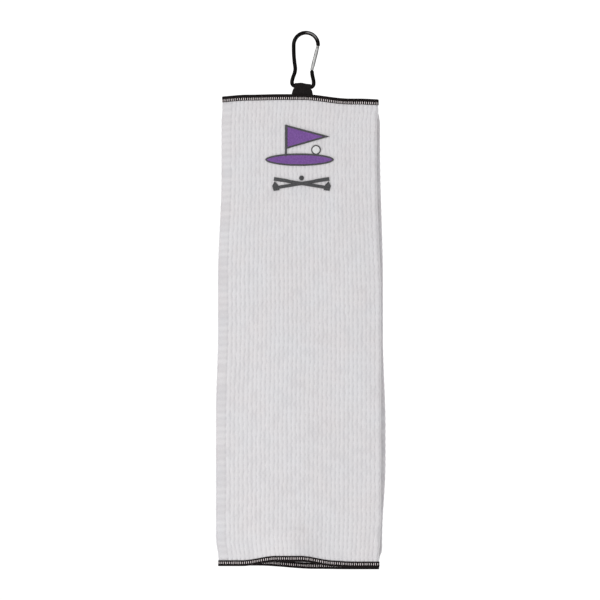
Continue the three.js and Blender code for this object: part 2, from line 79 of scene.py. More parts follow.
# Towel, folded in three.
LAYER_PITCH = 3.4
FOLD_RADIUS = LAYER_PITCH / 2
LAYER_Y = {"front": -LAYER_PITCH, "middle": 0.0, "back": LAYER_PITCH}
TOP = -61.5
BOTTOM_LEFT = -547.7
LEFT_TOP = -86.4
RIGHT_TOP = 75.2
LEFT_FOLD_TOP = -85.2
HEM_HEIGHT = 6.1
HEM_HALF_THICKNESS = 1.4
HEM_FOLD_HALF = 1.0  # the binding's inner half, pressed thin beside a fold
HEM_CENTRE_INSET = 3.2  # from a fold's edge to the centre that the binding turns on
CLOTH_CENTRE_INSET = 2.6
SLOT_HALF_WIDTH = 0.95
SLOT_DEPTH = 2.6
CLOTH_INSET = 3.6  # from a hem's outer line to the cloth's hidden edge
BASE_HALF = 0.30  # half thickness in a groove
RELIEF = 0.42  # from a groove up to a rib
FLAT = 4.0  # straight cloth on each side of a fold's turn
EDGE = 10.5  # the unribbed strip along the cloth's free edges
ROLL_RADIUS = 0.9  # of the narrow roll at a free edge
WANDER = 0.62  # how far a rib strays sideways
RIB_ROUNDNESS = 0.62  # 1 is a sine's arch, and less is flatter and broader
RIB_DIP = 0.22  # how much a rib sinks where a bar meets it
BAR_HEIGHT = 0.50  # of a rib's height
PUFF = 0.32  # how unevenly the cells rise
ROWS = 69
ROW_PITCH = 6.97
ROW_STEPS = 4
RIB_STEPS = 5

rng = np.random.default_rng(549)


def smoothstep(x, low, high):
    t = np.clip((np.asarray(x, float) - low) / (high - low), 0, 1)
    return t * t * (3 - 2 * t)


def normed(vectors):
    return vectors / np.linalg.norm(vectors, axis=-1, keepdims=True)


def rotated(points, angle):
    """Flat points turned about their origin."""
    c, s = math.cos(angle), math.sin(angle)
    points = np.asarray(points, float)
    return np.stack([points[..., 0] * c - points[..., 1] * s, points[..., 0] * s + points[..., 1] * c], -1)


def tilted(points, angle):
    """Points turned about Y, from Z towards X."""
    x, y, z = np.moveaxis(np.asarray(points, float), -1, 0)
    c, s = math.cos(angle), math.sin(angle)
    return np.stack([x * c + z * s, y, z * c - x * s], -1)


def square_to(along):
    """The direction in the XZ plane square to each (x, z) direction."""
    return np.stack([-along[:, 1], np.zeros(len(along)), along[:, 0]], -1)


def runs_left(outline):
    """Whether a closed outline runs anticlockwise."""
    x, z = outline.T
    return np.sum(x * np.roll(z, -1) - np.roll(x, -1) * z) > 0


# ---- meshes


def joined(parts):
    """One list of points and of face groups from several."""
    points, faces, start = [], [], 0
    for part_points, part_faces in parts:
        points.append(part_points)
        faces += [group + start for group in part_faces]
        start += len(part_points)
    return np.concatenate(points), faces


def facing_out(points, faces):
    """The faces, turned over if the closed shape that they make is inside out."""
    volume = 0.0
    for group in faces:
        corners = points[group]
        for i in range(1, group.shape[1] - 1):
            volume += np.einsum("ij,ij->", corners[:, 0], np.cross(corners[:, i], corners[:, i + 1]))
    return [group[:, ::-1] for group in faces] if volume < 0 else faces


def cap_triangles(outline):
    """Triangles over a closed outline, each running the way that the outline does."""
    triangles = np.array(tessellate_polygon([[Vector((x, z, 0)) for x, z in outline]]))
    a, b, c = outline[triangles[0]]
    same = (np.cross(b - a, c - a) > 0) == runs_left(outline)
    return triangles if same else triangles[:, ::-1]


def shade_smooth(mesh, limit):
    """Smooth faces, with edges sharper than limit degrees kept crisp."""
    mesh.polygons.foreach_set("use_smooth", np.ones(len(mesh.polygons), bool))
    mesh.set_sharp_from_angle(angle=math.radians(limit))
    mesh.update()


def set_point_values(obj, name, values):
    """One number for each point of a mesh, for its material to read."""
    layer = obj.data.attributes.new(name, "FLOAT", "POINT")
    layer.data.foreach_set("value", values.astype(np.float32))


def mesh_object(name, shape, material=None, unit=MM, limit=SMOOTH_LIMIT):
    points, faces = shape
    mesh = bpy.data.meshes.new(name)
    mesh.from_pydata((points * unit).tolist(), [], [face for group in faces for face in group.tolist()])
    mesh.validate()
    shade_smooth(mesh, limit)
    obj = bpy.data.objects.new(name, mesh)
    bpy.context.scene.collection.objects.link(obj)
    if material:
        mesh.materials.append(material)
    return obj


def finish_piece(obj, body, stands_for=()):
    if isinstance(body, str):
        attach(obj, body)
    else:
        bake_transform(obj)
    if stands_for:
        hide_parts(*stands_for)
    return obj


def piece(name, shape, material, slot, body, stands_for=(), limit=SMOOTH_LIMIT, **values):
    """A finished piece. values are numbers by point that its material reads."""
    obj = mesh_object(name, shape, material, limit=limit)
    for key, by_point in values.items():
        set_point_values(obj, key, by_point)
    return finish_piece(obj, body, stands_for)


def through_rings(ring, caps=None):
    """Closed solids through rings of points. caps are the triangles over one ring, and without them
    a single face closes each end."""
    _, count, sides = (1, *ring.shape[:-1])[-3:]
    index = np.arange(ring[..., 0].size).reshape(-1, count, sides)
    near, far = index[:, :-1], index[:, 1:]
    quads = np.stack([near, np.roll(near, -1, 2), np.roll(far, -1, 2), far], -1).reshape(-1, 4)
    caps = np.arange(sides)[None] if caps is None else caps
    first, last = index[:, 0][:, caps[:, ::-1]], index[:, -1][:, caps]
    points = ring.reshape(-1, 3)
    ends = [end.reshape(-1, caps.shape[1]) for end in (first, last)]
    return points, facing_out(points, [quads, *ends])


def tubes(centres, across, out, half_width, half_height, sides=8, power=2.0):
    """Closed tubes along rows of points. across and out are the section's two directions, and power
    squares the section: 2 is an ellipse."""
    centres = np.asarray(centres, float)
    if centres.ndim == 2:
        centres = centres[None]
    rows, count, _ = centres.shape
    across = np.broadcast_to(across, centres.shape)
    out = np.broadcast_to(out, centres.shape)
    angle = 2 * PI * (np.arange(sides) + 0.5) / sides
    roundness = 2 / np.broadcast_to(power, (rows, count))[..., None]
    cos = np.sign(np.cos(angle)) * np.abs(np.cos(angle)) ** roundness
    sin = np.sign(np.sin(angle)) * np.abs(np.sin(angle)) ** roundness
    wide = np.broadcast_to(half_width, (rows, count))[..., None] * cos
    high = np.broadcast_to(half_height, (rows, count))[..., None] * sin
    ring = centres[:, :, None] + across[:, :, None] * wide[..., None] + out[:, :, None] * high[..., None]
    return through_rings(ring)


def shell(first, second):
    """A closed sheet between two grids of points of the same size."""
    columns, rows, _ = first.shape
    points = np.concatenate([first.reshape(-1, 3), second.reshape(-1, 3)])
    a = np.arange(columns * rows).reshape(columns, rows)
    b = a + columns * rows
    faces = [
        np.stack([a[:-1, :-1], a[1:, :-1], a[1:, 1:], a[:-1, 1:]], -1).reshape(-1, 4),
        np.stack([b[:-1, :-1], b[:-1, 1:], b[1:, 1:], b[1:, :-1]], -1).reshape(-1, 4),
    ]
    for near, far in ((a[0], b[0]), (b[-1], a[-1]), (b[:, 0], a[:, 0]), (a[:, -1], b[:, -1])):
        faces.append(np.stack([near[:-1], near[1:], far[1:], far[:-1]], -1))
    return points, facing_out(points, faces)


def lathe(profile, sides=40):
    """A closed solid of revolution about Z from (radius, z) pairs that start and end on the axis."""
    inner = np.array(profile[1:-1], float)
    radius, z = inner[:, :1], inner[:, 1:]
    angle = 2 * PI * np.arange(sides) / sides
    ring = np.stack([radius * np.cos(angle), radius * np.sin(angle), np.repeat(z, sides, 1)], -1)
    return through_rings(ring)


def prism(outline, low_y, high_y, bevel=0.15):
    """A flat outline in X and Z with a thickness in Y, its front edge rounded off."""
    outline = np.array(outline, float)
    middle = outline.mean(0)
    size = np.linalg.norm(outline - middle, axis=1).max()
    rings = []
    for y, share in ((high_y, 1.0), (low_y + bevel, 1.0), (low_y, 1 - bevel / size)):
        flat = middle + (outline - middle) * share
        rings.append(np.stack([flat[:, 0], np.full(len(flat), y), flat[:, 1]], -1))
    return through_rings(np.array(rings), cap_triangles(outline))


# ---- materials


def new_material(name, color, roughness, metallic=0.0, sheen=0.0, specular=0.5):
    material = bpy.data.materials.new(name)
    material.use_nodes = True
    tree = material.node_tree
    shader = tree.nodes["Principled BSDF"]
    for socket, value in (
        ("Base Color", (*color, 1)),
        ("Roughness", roughness),
        ("Metallic", metallic),
        ("Sheen Weight", sheen),
        ("Sheen Roughness", 0.5),
        ("Specular IOR Level", specular),
    ):
        shader.inputs[socket].default_value = value
    material.diffuse_color = (*color, 1)
    return material, tree, shader


def node(tree, kind, **values):
    made = tree.nodes.new(kind)
    for key, value in values.items():
        if key in made.inputs:
            made.inputs[key].default_value = value
        else:
            setattr(made, key, value)
    return made


def object_space(tree, scale=(1, 1, 1), turn=(0, 0, 0)):
    place = node(tree, "ShaderNodeTexCoord")
    mapping = node(tree, "ShaderNodeMapping", Scale=scale, Rotation=turn)
    tree.links.new(place.outputs["Object"], mapping.inputs["Vector"])
    return mapping.outputs["Vector"]


def noise(tree, vector, scale, detail=3.0, roughness=0.55):
    made = node(tree, "ShaderNodeTexNoise", Scale=scale, Detail=detail, Roughness=roughness)
    tree.links.new(vector, made.inputs["Vector"])
    return made.outputs["Fac"]


def point_value(tree, name):
    return node(tree, "ShaderNodeAttribute", attribute_name=name).outputs["Fac"]


def bands(tree, vector, direction, period):
    """Rounded threads of one direction: period is in metres."""
    made = node(tree, "ShaderNodeTexWave", bands_direction=direction, Scale=2 * PI / (20 * period))
    tree.links.new(vector, made.inputs["Vector"])
    return made.outputs["Fac"]


def math_node(tree, operation, a, b):
    made = node(tree, "ShaderNodeMath", operation=operation)
    for socket, value in zip(made.inputs, (a, b)):
        if isinstance(value, (int, float)):
            socket.default_value = value
        else:
            tree.links.new(value, socket)
    return made.outputs[0]


def add(tree, a, b):
    return math_node(tree, "ADD", a, b)


def ramp(tree, factor, *stops):
    """A ramp of two stops, each a place and a colour, or one number for a grey."""
    made = node(tree, "ShaderNodeValToRGB")
    tree.links.new(factor, made.inputs["Fac"])
    for element, (place, color) in zip(made.color_ramp.elements, stops):
        element.position = place
        element.color = (*color, 1) if isinstance(color, tuple) else (color, color, color, 1)
    return made.outputs["Color"]


def mottled(tree, space, scale, detail, roughness, *stops):
    """Two colours in uneven patches, the smaller the larger scale is."""
    return ramp(tree, noise(tree, space, scale, detail, roughness), *stops)


def mix(tree, kind, factor, a, b):
    made = node(tree, "ShaderNodeMix", data_type="RGBA", blend_type=kind)
    for socket, value in ((made.inputs[0], factor), (made.inputs[6], a), (made.inputs[7], b)):
        if isinstance(value, (int, float)):
            socket.default_value = value
        elif isinstance(value, tuple):
            socket.default_value = (*value, 1)
        else:
            tree.links.new(value, socket)
    return made.outputs[2]


def dress(tree, shader, color, height, distance, strength, gloss=None):
    """Link a material's colour, its fine bump and, where it has one, its gloss."""
    tree.links.new(color, shader.inputs["Base Color"])
    if gloss is not None:
        tree.links.new(gloss, shader.inputs["Roughness"])
    bump = node(tree, "ShaderNodeBump", Strength=strength, Distance=distance)
    tree.links.new(height, bump.inputs["Height"])
    tree.links.new(bump.outputs["Normal"], shader.inputs["Normal"])


def cloth_material():
    """White cotton waffle: slightly uneven white, painted shade darker where the weave is deep, and fine
    yarn.
    """
    material, tree, shader = new_material("waffle_cotton", (0.75, 0.74, 0.76), 0.92, sheen=0.12)
    space = object_space(tree)
    tones = (0.32, (0.745, 0.722, 0.735)), (0.68, (0.742, 0.736, 0.757))
    mottle = mottled(tree, space, 26, 4, 0.6, *tones)
    # painted shade: the colour darkens towards the weave's grooves, where its relief is low
    shade = ramp(tree, point_value(tree, "relief"), (0.0, (0.82, 0.815, 0.825)), (0.80, 1))
    fluff = mottled(tree, space, 900, 2, 0.7, (0.3, 0.93), (0.7, 1))
    color = mix(tree, "MULTIPLY", 1.0, mix(tree, "MULTIPLY", 1.0, mottle, shade), fluff)
    yarn = add(tree, bands(tree, space, "X", 0.00074), bands(tree, space, "Z", 0.00058))
    nap = add(tree, yarn, noise(tree, space, 2600, 3, 0.7))
    dress(tree, shader, color, nap, 0.00006, 0.55)
    return material


def tape_material(name, color, roughness, specular, patches, tones, yarns, depth, twill=None):
    """Binding or webbing: close lengthwise yarns, with a fine nap or a twill across them."""
    material, tree, shader = new_material(name, color, roughness, specular=specular)
    space = object_space(tree)
    if twill:
        across = bands(tree, object_space(tree, turn=(0, math.radians(38), 0)), "Z", twill)
    else:
        across = noise(tree, space, 2400, 3, 0.6)
    height = add(tree, bands(tree, space, "X", yarns), across)
    dress(tree, shader, mottled(tree, space, *patches, *tones), height, depth, 0.7)
    return material


def thread_material(name, color, pale, roughness=0.5, sheen=0.1):
    """Sewing or embroidery thread: two close tones and a fine twist."""
    material, tree, shader = new_material(name, color, roughness, sheen=sheen)
    space = object_space(tree)
    tone = mottled(tree, space, 650, 3, 0.6, (0.3, color), (0.7, pale))
    twist = object_space(tree, turn=(0, math.radians(50), 0))
    height = add(tree, bands(tree, twist, "X", 0.00022), noise(tree, space, 3000, 2, 0.6))
    dress(tree, shader, tone, height, 0.00003, 0.6)
    return material


def rod_material():
    """Black anodised aluminium, a little rubbed and finely pitted, with a painted glint along the bow's
    right shoulder.
    """
    material, tree, shader = new_material("black_anodised", (0.012, 0.011, 0.011), 0.28, metallic=1.0)
    shader.inputs["Specular Tint"].default_value = (0.05, 0.05, 0.05, 1)
    space = object_space(tree)
    tones = (0.50, (0.009, 0.008, 0.008)), (0.8, (0.030, 0.028, 0.028))
    rubbed = mottled(tree, space, 170, 5, 0.65, *tones)
    # painted glint: bright metal colour along the bow's right shoulder, where a highlight shows from the
    # front
    color = mix(tree, "MIX", point_value(tree, "wear"), rubbed, (0.42, 0.41, 0.41))
    gloss = mottled(tree, space, 420, 4, 0.7, (0.3, 0.24), (0.75, 0.42))
    dress(tree, shader, color, noise(tree, space, 1500, 2, 0.5), 0.00001, 0.3, gloss)
    return material


def steel_material(name, color, roughness, stretch, painted_flank_shade=False):
    """Bare metal, brushed along one direction. Its last argument paints shade on a tube's two sides, darker
    than its middle.
    """
    material, tree, shader = new_material(name, color, roughness, metallic=1.0)
    shader.inputs["Specular Tint"].default_value = (0.25, 0.25, 0.25, 1)
    lines = noise(tree, object_space(tree, scale=stretch), 900, 4, 0.7)
    tone = ramp(tree, lines, (0.3, tuple(0.82 * c for c in color)), (0.7, color))
    if painted_flank_shade:
        # painted shade: a tube's two sides darken away from its bright middle
        beside = ramp(tree, point_value(tree, "flank"), (0.36, 1), (0.70, 0.22))
        tone = mix(tree, "MULTIPLY", 1.0, tone, beside)
    gloss = ramp(tree, lines, (0.3, roughness * 1.35), (0.7, roughness * 0.8))
    dress(tree, shader, tone, lines, 0.000004, 0.3, gloss)
    return material


cotton = cloth_material()
dark = 0.3, (0.006, 0.005, 0.005)
tape = tape_material(
    "binding_tape",
    (0.009, 0.0075, 0.0075),
    roughness=0.85,
    specular=0.06,
    patches=(420, 3, 0.65),
    tones=(dark, (0.72, (0.016, 0.012, 0.012))),
    yarns=0.0004,
    depth=0.00005,
)
nylon = tape_material(
    "nylon_webbing",
    (0.010, 0.008, 0.008),
    roughness=0.75,
    specular=0.1,
    patches=(500, 3, 0.6),
    tones=(dark, (0.75, (0.018, 0.014, 0.014))),
    yarns=0.0007,
    depth=0.00008,
    twill=0.0005,
)
stitch_thread = thread_material("overlock_cotton", (0.78, 0.69, 0.69), (0.93, 0.87, 0.87))
embroidery_threads = {
    "purple": thread_material("purple_rayon", (0.150, 0.052, 0.27), (0.235, 0.095, 0.39), 0.42, 0.15),
    "grey": thread_material("grey_rayon", (0.032, 0.032, 0.034), (0.075, 0.075, 0.08), 0.42, 0.15),
    "white": thread_material("white_rayon", (0.70, 0.70, 0.71), (0.86, 0.86, 0.86), 0.42, 0.1),
}
anodised = rod_material()
gate_metal = steel_material("polished_gate", (0.66, 0.66, 0.65), 0.30, (1, 1, 0.06), painted_flank_shade=True)
pin_metal = steel_material("pin_metal", (0.56, 0.56, 0.56), 0.32, (1, 0.1, 1))


# ---- carabiner


def clip_to_row(points):
    """From the carabiner's own frame, columns x, y and z, to the row frame."""
    return tilted(points, LEAN) - (0, 0, BOW_DROP)


GATE_TURN = math.atan2(*(GATE_TOP - PIVOT))
GATE_LENGTH = float(np.linalg.norm(GATE_TOP - PIVOT))


def gate_to_row(points):
    """From the gate's frame, its pivot at the origin and its tube along Z, to the row frame."""
    return clip_to_row(tilted(points, GATE_TURN) + (PIVOT[0], 0, PIVOT[1]))


def arc(centre_x, centre_z, radius, start, end, count=80):
    angle = np.linspace(start, end, count)
    return np.stack([centre_x + radius * np.cos(angle), centre_z + radius * np.sin(angle)], -1)


def curve(start, control, end, count=40):
    t = np.linspace(0, 1, count)[:, None]
    start, control, end = (np.array(p, float) for p in (start, control, end))
    return (1 - t) ** 2 * start + 2 * t * (1 - t) * control + t**2 * end


def resampled(points, count):
    """Points at even steps along a polyline."""
    steps = np.linalg.norm(np.diff(points, axis=0), axis=1)
    points = points[np.concatenate([[True], steps > 1e-9])]
    along = np.concatenate([[0], np.cumsum(np.linalg.norm(np.diff(points, axis=0), axis=1))])
    want = np.linspace(0, along[-1], count)
    return np.stack([np.interp(want, along, points[:, i]) for i in range(points.shape[1])], -1)


def eased(points, passes):
    """The same line with its small kinks smoothed out and its ends kept."""
    points = points.copy()
    for _ in range(passes):
        points[1:-1] = 0.5 * points[1:-1] + 0.25 * (points[:-2] + points[2:])
    return points


def rod_path(count=420):
    """The rod's centre line, from the nose over the bow and the spine to the gate's pivot."""
    line = np.concatenate(
        [
            arc(0, 0, BOW_RADIUS, 0, PI, 160),
            curve((-BOW_RADIUS, 0), (-12, -13), (-9.25, -24.2)),
            curve((-9.25, -24.2), (-8.75, -27.6), (-10.1, -31.8)),
            curve((-10.1, -31.8), (-11.7, -36.8), (-11.65, 3.6 - BAR_DROP)),
            arc(-8.05, 3.6 - BAR_DROP, 3.6, PI, 1.5 * PI),
            arc(7.7, 3.2 - BAR_DROP, 3.2, 1.5 * PI, 2 * PI),
            curve((10.9, 3.2 - BAR_DROP), (10.95, -36.6), (8.95, -31.3)),
            curve((8.95, -31.3), (8.4, -28.9), (PIVOT[0], -26.5)),
        ]
    )
    return eased(resampled(line, count), 24)


def carabiner_rod():
    """The rod, with each end chamfered and drawn out to a flat blade."""
    path = rod_path()
    start_way = np.array([0.0, 1.0])
    end_way = PIVOT - path[-1]
    to_pivot = np.linalg.norm(end_way)
    end_way /= to_pivot
    blade, nose = BLADE_HALF_WIDTH, path[0]
    rings = []
    for drop, half in ((3.2, 0.55), (3.1, 0.8), (2.85, 0.95), (2.5, blade), (0.04, blade)):
        rings.append((nose - start_way * drop, half, BLADE_HALF_THICKNESS, BLADE_POWER))
    for drop, half in ((0.03, 1.55), (-0.03, 1.72), (-0.16, 1.88), (-0.34, 1.97)):
        rings.append((nose - start_way * drop, half, half, 2.0))
    for p in path[2:-2]:
        rings.append((p, ROD_RADIUS, ROD_RADIUS, 2.0))
    for back, half in ((0.34, 1.98), (0.16, 1.92), (0.04, 1.8), (-0.02, 1.6)):
        rings.append((path[-1] - end_way * back, half, half, 2.0))
    rings.append((path[-1] + end_way * 0.05, EYE_HALF_WIDTH, BLADE_HALF_THICKNESS, BLADE_POWER))
    rings.append((path[-1] + end_way * (to_pivot - 0.4), EYE_HALF_WIDTH, BLADE_HALF_THICKNESS, BLADE_POWER))
    for share in (0.0, 0.35, 0.6, 0.8, 0.93, 0.985):
        half = EYE_RADIUS * math.sqrt(1 - share**2)
        rings.append((PIVOT + end_way * EYE_RADIUS * share, half, BLADE_HALF_THICKNESS, BLADE_POWER))
    centres = np.array([r[0] for r in rings])
    across = square_to(normed(np.gradient(centres, axis=0)))
    centre = np.stack([centres[:, 0], np.zeros(len(rings)), centres[:, 1]], -1)
    half_width, half_height, power = (np.array([r[i] for r in rings]) for i in (1, 2, 3))
    points, faces = tubes(centre, across, (0, 1, 0), half_width, half_height, 44, power)
    return points, faces, bow_wear(points)


def bow_wear(points):
    """1 along the crown of the bow's right shoulder, front and back, where a bright glint is painted."""
    out = np.hypot(points[:, 0], points[:, 2])
    turn = np.degrees(np.arctan2(points[:, 2], points[:, 0]))
    line = np.exp(-(((out - BOW_RADIUS - 0.1) / 0.4) ** 2))
    return line * smoothstep(turn, 22, 48) * (1 - smoothstep(turn, 84, 100))


def add_modifier(obj, kind, **values):
    modifier = obj.modifiers.new(kind.lower(), kind)
    for key, value in values.items():
        setattr(modifier, key, value)


def apply_modifiers(obj):
    graph = bpy.context.evaluated_depsgraph_get()
    made = bpy.data.meshes.new_from_object(obj.evaluated_get(graph))
    obj.modifiers.clear()
    obj.data = made


def box_shape(low, high):
    (x0, y0, z0), (x1, y1, z1) = low, high
    base = (x0, y0), (x1, y0), (x1, y1), (x0, y1)
    points = np.array([(x, y, z) for z in (z0, z1) for x, y in base], float)
    quads = np.array([[3, 2, 1, 0], [4, 5, 6, 7], [0, 1, 5, 4], [1, 2, 6, 5], [2, 3, 7, 6], [3, 0, 4, 7]])
    return points, [quads]


def pin_shape(x, z, radius, half_length, chamfer=0.0, sides=32):
    """A round pin along Y."""
    chamfer_end = half_length - max(chamfer, 1e-4)
    side = [(radius, chamfer_end), (radius - chamfer, half_length), (0, half_length)]
    profile = [(r, -y) for r, y in side[::-1]] + side
    points, faces = lathe(profile, sides)
    return np.stack([points[:, 0] + x, points[:, 2], points[:, 1] + z], -1), [g[:, ::-1] for g in faces]


def gate_tube():
    """The gate's tube with its fork, top slot, catch notch and bore. It is cut in millimetres."""
    slot_floor = GATE_LENGTH - GATE_SLOT_DEPTH
    catch = rotated(np.array([BOW_RADIUS, -CATCH_DROP]) - PIVOT, GATE_TURN)
    room = PIN_RADIUS + 0.3
    radius = GATE_RADIUS
    foot = [(0, -1.0), (radius - 0.25, -1.0), (radius - 0.07, -0.93), (radius, -0.75)]
    tip = [(radius, GATE_LENGTH - 0.3), (radius - 0.09, GATE_LENGTH - 0.09), (radius - 0.3, GATE_LENGTH)]
    outside = lathe(foot + tip + [(0, GATE_LENGTH)], 72)
    bore_end = slot_floor - 0.9
    bore = lathe([(0, -2), (GATE_BORE_RADIUS, -2), (GATE_BORE_RADIUS, bore_end), (0, bore_end)], 48)
    cutters = [
        bore,
        box_shape((-3, -FORK_HALF_GAP, -3), (3, FORK_HALF_GAP, 3.2)),
        box_shape((-3, -FORK_HALF_GAP, slot_floor), (3, FORK_HALF_GAP, GATE_LENGTH + 1)),
        box_shape((catch[0] - room, -3, catch[1] - room), (3, 3, catch[1] + room)),
        pin_shape(0, 0, PIN_RADIUS + 0.1, 3),
    ]
    obj = mesh_object("carabiner_gate_tube", outside, gate_metal, unit=1)
    tools = [mesh_object("gate_cutter", shape, unit=1) for shape in cutters]
    for tool in tools:
        add_modifier(obj, "BOOLEAN", operation="DIFFERENCE", solver="EXACT", object=tool)
    edge_limit = {"limit_method": "ANGLE", "angle_limit": math.radians(50)}
    add_modifier(obj, "BEVEL", width=0.06, segments=2, **edge_limit)
    apply_modifiers(obj)
    for tool in tools:
        bpy.data.objects.remove(tool)
    mesh = obj.data
    points = np.zeros(len(mesh.vertices) * 3)
    mesh.vertices.foreach_get("co", points)
    points = points.reshape(-1, 3)
    mesh.vertices.foreach_set("co", (gate_to_row(points) * MM).ravel())
    # how far across the tube each point lies, read by the gate's painted side shade
    set_point_values(obj, "flank", np.abs(points[:, 0]) / GATE_RADIUS)
    shade_smooth(mesh, 40)
    return obj


def gate_spring():
    low, high = 4.8, GATE_LENGTH - 5.4
    wire = 0.15
    steps = SPRING_COILS * 28
    t = np.linspace(0, 1, steps + 1)
    angle = 2 * PI * SPRING_COILS * t
    across = np.stack([np.cos(angle), np.sin(angle), np.zeros_like(angle)], -1)
    centres = SPRING_RADIUS * across
    centres[:, 2] = low + wire + (high - low - 2 * wire) * t
    points, faces = tubes(centres, across, (0, 0, 1), wire, wire, 10)
    return gate_to_row(points), faces


def gate_plunger():
    tip = [(0, 1.45), (0.22, 1.47), (0.42, 1.6), (0.66, 1.92), (0.75, 2.12)]
    points, faces = lathe(tip + [(0.75, 4.42), (0.68, 4.5), (0, 4.5)])
    return gate_to_row(points), faces


points, faces, wear = carabiner_rod()
shape = clip_to_row(points), faces
# the rod carries its painted glint as a value by point
piece("carabiner_rod", shape, anodised, "carabiner_black", "carabiner", ["carabiner_body"], 50, wear=wear)
for name, place, half, stands_for in (
    ("pivot_rivet", PIVOT, 1.65, "gate_pivot_pin"),
    ("catch_rivet", (BOW_RADIUS, -CATCH_DROP), 1.5, "nose_catch_pin"),
):
    points, faces = pin_shape(*place, PIN_RADIUS, half, 0.12, 40)
    shape = clip_to_row(points), faces
    piece(name, shape, pin_metal, "pin_steel", "carabiner", [stands_for], 35)
finish_piece(gate_tube(), "gate", ["gate"])
piece("gate_return_spring", gate_spring(), pin_metal, "pin_steel", "gate", ["gate_spring"])
piece("gate_push_rod", gate_plunger(), pin_metal, "pin_steel", "gate", ["gate_plunger"], 35)


# ---- the folded cloth's shape


def down_share(z):
    """0 beside the top hem and 1 beside the bottom one."""
    start, end = TOP - 11, BOTTOM_LEFT + 6
    return np.clip((start - z) / (start - end), 0, 1)


def top_line(x):
    left_drop = 2.2 * (1 - smoothstep(x, -95, -60)) + 0.6 * (1 - smoothstep(x, -60, -25))
    return TOP - left_drop - 4.6 * smoothstep(x, -4, 46) - 0.8 * smoothstep(x, 55, 78)


def rear_bottom_line(x):
    return BOTTOM_LEFT - 3.4 * smoothstep(x, -50, 10) - 0.4 * smoothstep(x, 10, 45)


def front_bottom_line(x):
    arch = smoothstep(x, -66, -30) * (1 - smoothstep(x, -6, 28))
    return BOTTOM_LEFT - 1.4 * smoothstep(x, 20, 50) + 4.8 * arch


def outlines(down, inset):
    """The x of the front's free edge, both folds' centres and the back's free edge."""

    def rise(low, high):
        return smoothstep(down, low, high)

    free_left = LEFT_TOP - 0.9 * rise(0, 0.04) - 3.6 * rise(0.15, 0.38) - 2.1 * rise(0.5, 0.68)
    free_left = free_left + 2.5 * rise(0.955, 1)
    right = RIGHT_TOP - 1.9 * rise(0, 0.03) + 4.6 * rise(0.12, 0.45) - 1.9 * rise(0.9, 1) - inset
    left = LEFT_FOLD_TOP - 2 * down + inset
    free_right = RIGHT_TOP - 0.3 + 1.8 * rise(0, 0.03) + 3.0 * rise(0.08, 0.38) + 2.7 * rise(0.5, 0.7)
    free_right = free_right - 3.5 * rise(0.78, 0.95) - 3.3 * rise(0.97, 1)
    return free_left, right, left, free_right


def layer_name(part):
    return part if "fold" in part else part.split("_")[0]


def bottom_of(layer):
    return rear_bottom_line if layer in ("left_fold", "back") else front_bottom_line


def across_fold(part, share, down, inset, flat=0.0):
    """x and y of a layer's middle, and the direction that its outside faces, at a share of one part
    of the folded sheet. The share runs from the front's free edge to the back's."""
    free_left, right, left, free_right = outlines(down, inset)
    share = share + np.zeros_like(down)
    if part in ("right_fold", "left_fold"):
        length = 2 * flat + PI * FOLD_RADIUS
        s = share * length
        turn = np.clip((s - flat) / FOLD_RADIUS, 0, PI)
        legs = np.clip(s, 0, flat) - np.clip(s - flat - PI * FOLD_RADIUS, 0, flat)
        reach = FOLD_RADIUS * np.sin(turn) + legs - flat
        if part == "right_fold":
            return right + reach, -FOLD_RADIUS - FOLD_RADIUS * np.cos(turn), np.sin(turn), -np.cos(turn)
        return left - reach, FOLD_RADIUS - FOLD_RADIUS * np.cos(turn), np.sin(turn), np.cos(turn)
    edge = EDGE if flat else 0.0
    span = {
        "front_edge": (free_left, free_left + edge),
        "front": (free_left + edge, right - flat),
        "middle": (right - flat, left + flat),
        "back": (left + flat, free_right - edge),
        "back_edge": (free_right - edge, free_right),
    }[part]
    y = np.full_like(share, LAYER_Y[layer_name(part)])
    facing = np.full_like(share, 1.0 if part == "middle" else -1.0)
    return span[0] + share * (span[1] - span[0]), y, np.zeros_like(share), facing


def drape(layer, x, z):
    """How far the front or the back layer stands out of its plane. The front bellies out over its
    arched hem and has a crease there."""
    down = down_share(z)
    calm = np.sin(PI * np.clip(down * 1.02, 0, 1)) ** 0.7
    wave = np.sin(x / 19.0 + z / 83.0 + 1.2) + 0.7 * np.sin(x / 31.0 - z / 47.0)
    wave = wave + 0.5 * np.sin(z / 29.0 + x / 70.0)
    if layer == "front":
        side = smoothstep(x, -92, -60) * (1 - smoothstep(x, 45, 70))
        belly = 4.6 * np.exp(-(((x + 16) / 27) ** 2)) * smoothstep(z, -494, -528) * side
        crease_line = -511 - 0.016 * (x + 12) ** 2
        crease = 1.1 * np.exp(-(((z - crease_line) / 2.0) ** 2)) * np.exp(-(((x + 12) / 12) ** 2))
        return -belly - crease * side - 0.30 * wave * calm * side
    side = smoothstep(x, -80, -50) * (1 - smoothstep(x, 45, 72))
    return 0.25 * (wave + 1.2) * calm * side


RIBS = {"front": 34, "right_fold": 3, "middle": 35, "left_fold": 3, "back": 34}
FIRST_RIB = {"front": 0, "right_fold": 34, "middle": 37, "left_fold": 72, "back": 75}
LINES = 110
slant = rng.uniform(-1, 1, (LINES, 2 * ROWS + 2))
puff = rng.uniform(-1, 1, (LINES, ROWS + 2))


def from_lattice(lattice, u, v):
    """Values of a random lattice, smoothly between its points."""
    column, row = np.floor(u).astype(int), np.floor(v).astype(int)
    fu, fv = smoothstep(u - column, 0, 1), smoothstep(v - row, 0, 1)
    column = np.clip(column, 0, lattice.shape[0] - 2)
    row = np.clip(row, 0, lattice.shape[1] - 2)
    low = lattice[column, row] * (1 - fv) + lattice[column, row + 1] * fv
    high = lattice[column + 1, row] * (1 - fv) + lattice[column + 1, row + 1] * fv
    return low * (1 - fu) + high * fu


